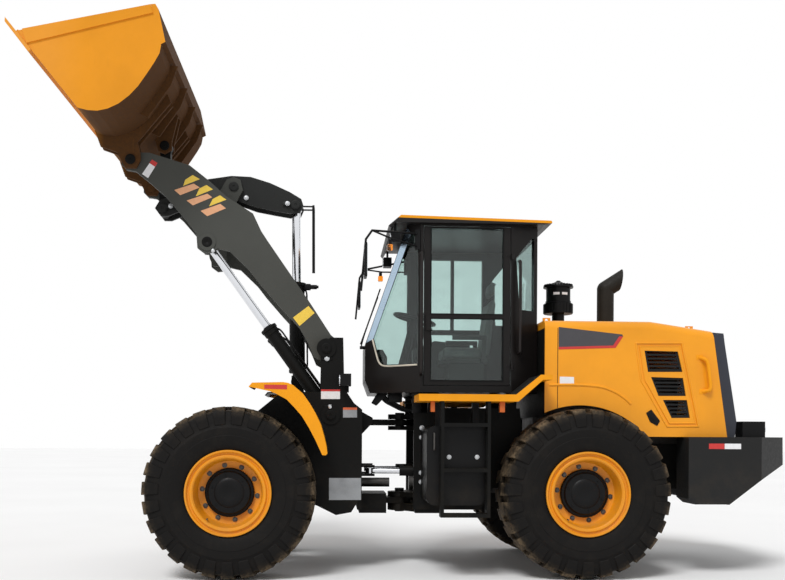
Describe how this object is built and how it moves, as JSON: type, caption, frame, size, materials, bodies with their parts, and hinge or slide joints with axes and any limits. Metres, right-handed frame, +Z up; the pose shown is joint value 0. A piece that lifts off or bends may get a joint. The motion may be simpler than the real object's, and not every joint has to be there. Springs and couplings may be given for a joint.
{
  "type": "articulated wheel loader",
  "caption": "Articulated wheel loader with a raised lift arm, rolled-back bucket, cab and enclosed engine, steering, lifting and tipping on real joints.",
  "frame": {"origin": "centre of the overall box on the ground, where the tyres stand", "axes": "+X forward to the bucket, +Y to the operator's left, +Z up"},
  "size_m": [6.9445, 2.55, 4.846],
  "materials": {
    "arm_grey": "satin",
    "body_yellow": "satin",
    "cab_paint": "satin",
    "cab_plastic": "matte",
    "chrome": "polished",
    "engine_grey": "matte",
    "frame_black": "satin",
    "glass": "polished",
    "grille_grey": "satin",
    "lamp": "satin",
    "rim_yellow": "satin",
    "rubber": "matte",
    "seat_fabric": "matte",
    "worn_steel": "worn"
  },
  "bodies": {
    "rear_machine": {"rear_frame": "frame_black", "rear_axle": "frame_black", "counterweight": "frame_black", "engine_block": "engine_grey", "hood": "body_yellow", "hood_mesh": "grille_grey", "rear_grille": "grille_grey", "exhaust_stack": "frame_black", "air_intake": "frame_black", "side_tanks": "frame_black", "ladders": "frame_black", "platforms": "body_yellow", "cab_shell": "cab_paint", "cab_glass": "glass", "cab_roof": "body_yellow", "seat_base": "cab_plastic", "seat_cushions": "seat_fabric", "steering_column": "cab_plastic", "control_console": "cab_plastic", "mirrors": "frame_black", "grab_bars": "frame_black", "work_lamps": "lamp", "drive_shaft_rear": "frame_black"},
    "front_machine": {"front_frame": "frame_black", "front_axle": "frame_black", "front_fenders": "body_yellow", "head_lamps": "lamp", "drive_shaft_front": "frame_black"},
    "arm": {"arm": "arm_grey"},
    "rocker": {"rocker": "arm_grey"},
    "tilt_link": {"tilt_link": "arm_grey"},
    "bucket": {"bucket": "body_yellow", "cutting_edge": "worn_steel"},
    "left_door": {"left_door": "cab_paint", "left_door_glass": "glass"},
    "wheel_front_left": {"tyre_front_left": "rubber", "wheel_front_left": "rim_yellow"},
    "wheel_front_right": {"tyre_front_right": "rubber", "wheel_front_right": "rim_yellow"},
    "wheel_rear_left": {"tyre_rear_left": "rubber", "wheel_rear_left": "rim_yellow"},
    "wheel_rear_right": {"tyre_rear_right": "rubber", "wheel_rear_right": "rim_yellow"},
    "lift_cylinder_left_barrel": {"lift_cylinder_left_barrel": "frame_black"},
    "lift_cylinder_left_rod": {"lift_cylinder_left_rod": "chrome"},
    "lift_cylinder_right_barrel": {"lift_cylinder_right_barrel": "frame_black"},
    "lift_cylinder_right_rod": {"lift_cylinder_right_rod": "chrome"},
    "tilt_cylinder_barrel": {"tilt_cylinder_barrel": "frame_black"},
    "tilt_cylinder_rod": {"tilt_cylinder_rod": "chrome"},
    "steering_cylinder_left_barrel": {"steering_cylinder_left_barrel": "frame_black"},
    "steering_cylinder_left_rod": {"steering_cylinder_left_rod": "chrome"},
    "steering_cylinder_right_barrel": {"steering_cylinder_right_barrel": "frame_black"},
    "steering_cylinder_right_rod": {"steering_cylinder_right_rod": "chrome"}
  },
  "joints": [
    {"name": "steering", "type": "hinge", "parent": "rear_machine", "child": "front_machine", "pos_m": [0.081, 0, 0.787], "axis": [0, 0, 1], "range_deg": [-35, 35]},
    {"name": "wheel_spin_front_left", "type": "hinge", "parent": "front_machine", "child": "wheel_front_left", "pos_m": [1.621, 0.925, 0.746], "axis": [0, 1, 0], "continuous": true},
    {"name": "wheel_spin_front_right", "type": "hinge", "parent": "front_machine", "child": "wheel_front_right", "pos_m": [1.621, -0.925, 0.746], "axis": [0, 1, 0], "continuous": true},
    {"name": "wheel_spin_rear_left", "type": "hinge", "parent": "rear_machine", "child": "wheel_rear_left", "pos_m": [-1.479, 0.925, 0.746], "axis": [0, 1, 0], "continuous": true},
    {"name": "wheel_spin_rear_right", "type": "hinge", "parent": "rear_machine", "child": "wheel_rear_right", "pos_m": [-1.479, -0.925, 0.746], "axis": [0, 1, 0], "continuous": true},
    {"name": "arm_lift", "type": "hinge", "parent": "front_machine", "child": "arm", "pos_m": [0.797, 0, 2.04], "axis": [0, -1, 0], "range_deg": [-90, 0]},
    {"name": "bucket_tilt", "type": "hinge", "parent": "arm", "child": "bucket", "pos_m": [2.581, 0, 3.735], "axis": [0, 1, 0], "range_deg": [-60, 90]},
    {"name": "rocker_swing", "type": "hinge", "parent": "arm", "child": "rocker", "pos_m": [1.693, 0, 3.612], "axis": [0, 1, 0], "range_deg": [-17, 11.5]},
    {"name": "link_swing", "type": "hinge", "parent": "bucket", "child": "tilt_link", "pos_m": [2.361, 0, 4.01], "axis": [0, 1, 0], "range_deg": [-66, 44]},
    {"name": "lift_cylinder_left_swing", "type": "hinge", "parent": "front_machine", "child": "lift_cylinder_left_barrel", "pos_m": [0.757, 0.405, 1.43], "axis": [0, -1, 0], "range_deg": [-80.5, 0.5]},
    {"name": "lift_cylinder_left_stroke", "type": "slide", "parent": "lift_cylinder_left_barrel", "child": "lift_cylinder_left_rod", "axis": [0.585, 0, 0.811], "range_m": [-0.831, 0.005]},
    {"name": "lift_cylinder_right_swing", "type": "hinge", "parent": "front_machine", "child": "lift_cylinder_right_barrel", "pos_m": [0.757, -0.405, 1.43], "axis": [0, -1, 0], "range_deg": [-80.5, 0.5]},
    {"name": "lift_cylinder_right_stroke", "type": "slide", "parent": "lift_cylinder_right_barrel", "child": "lift_cylinder_right_rod", "axis": [0.585, 0, 0.811], "range_m": [-0.831, 0.005]},
    {"name": "tilt_cylinder_swing", "type": "hinge", "parent": "front_machine", "child": "tilt_cylinder_barrel", "pos_m": [1.081, 0, 1.76], "axis": [0, -1, 0], "range_deg": [-91.1, 0.5]},
    {"name": "tilt_cylinder_stroke", "type": "slide", "parent": "tilt_cylinder_barrel", "child": "tilt_cylinder_rod", "axis": [0.0136, 0, 0.9999], "range_m": [-0.569, 0.005]},
    {"name": "steering_cylinder_left_swing", "type": "hinge", "parent": "rear_machine", "child": "steering_cylinder_left_barrel", "pos_m": [-0.379, 0.3, 0.91], "axis": [0, 0, 1], "range_deg": [-13, 13]},
    {"name": "steering_cylinder_left_stroke", "type": "slide", "parent": "steering_cylinder_left_barrel", "child": "steering_cylinder_left_rod", "axis": [0.9978, -0.0656, 0], "range_m": [-0.17, 0.17]},
    {"name": "steering_cylinder_right_swing", "type": "hinge", "parent": "rear_machine", "child": "steering_cylinder_right_barrel", "pos_m": [-0.379, -0.3, 0.91], "axis": [0, 0, 1], "range_deg": [-13, 13]},
    {"name": "steering_cylinder_right_stroke", "type": "slide", "parent": "steering_cylinder_right_barrel", "child": "steering_cylinder_right_rod", "axis": [0.9978, 0.0656, 0], "range_m": [-0.17, 0.17]},
    {"name": "left_door_swing", "type": "hinge", "parent": "rear_machine", "child": "left_door", "pos_m": [-0.889, 0.715, 2.4], "axis": [0, 0, 1], "range_deg": [0, 95]}
  ],
  "couplings": [
    {"joint": "rocker_swing", "follows": "bucket_tilt", "ratio": -0.183},
    {"joint": "link_swing", "follows": "bucket_tilt", "ratio": -0.723},
    {"joint": "lift_cylinder_left_swing", "follows": "arm_lift", "ratio": 0.88895},
    {"joint": "lift_cylinder_left_stroke", "follows": "arm_lift", "m_per_rad": 0.52559},
    {"joint": "lift_cylinder_right_swing", "follows": "arm_lift", "ratio": 0.88895},
    {"joint": "lift_cylinder_right_stroke", "follows": "arm_lift", "m_per_rad": 0.52559},
    {"joint": "tilt_cylinder_swing", "follows": "arm_lift", "ratio": 1.0066},
    {"joint": "tilt_cylinder_stroke", "follows": "arm_lift", "m_per_rad": 0.35895},
    {"joint": "steering_cylinder_left_swing", "follows": "steering", "ratio": 0.36},
    {"joint": "steering_cylinder_left_stroke", "follows": "steering", "m_per_rad": -0.262},
    {"joint": "steering_cylinder_right_swing", "follows": "steering", "ratio": 0.36},
    {"joint": "steering_cylinder_right_stroke", "follows": "steering", "m_per_rad": 0.262}
  ]
}
